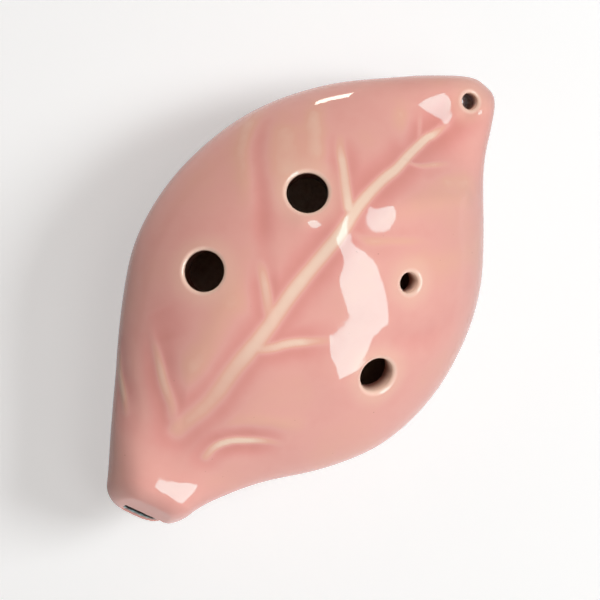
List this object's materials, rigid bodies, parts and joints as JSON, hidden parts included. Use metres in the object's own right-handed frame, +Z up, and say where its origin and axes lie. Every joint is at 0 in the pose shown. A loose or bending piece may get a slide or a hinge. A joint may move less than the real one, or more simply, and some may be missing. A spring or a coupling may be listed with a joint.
{
  "type": "ocarina",
  "caption": "Leaf-shaped ceramic vessel flute with a beak mouthpiece, finger holes over a hollow chamber, a sound window underneath and a strap hole at its tip.",
  "frame": {"origin": "middle of the flat foot ground on the belly, on the surface that the ocarina lies on", "axes": "+X from the mouthpiece to the leaf's tip, +Y to the player's left, +Z up out of the belly through the leaf's ridge"},
  "size_m": [0.1155, 0.0708, 0.0358],
  "materials": {
    "pink_glaze": "transparent gloss glaze, rose pink, thin and cream-coloured over the veins and the rims",
    "bisque_clay": "unglazed fired clay, matt"
  },
  "bodies": {
    "root": {"upper_shell": "pink_glaze", "lower_shell": "pink_glaze", "windway_block": "bisque_clay", "labium": "bisque_clay"}
  },
  "joints": []
}
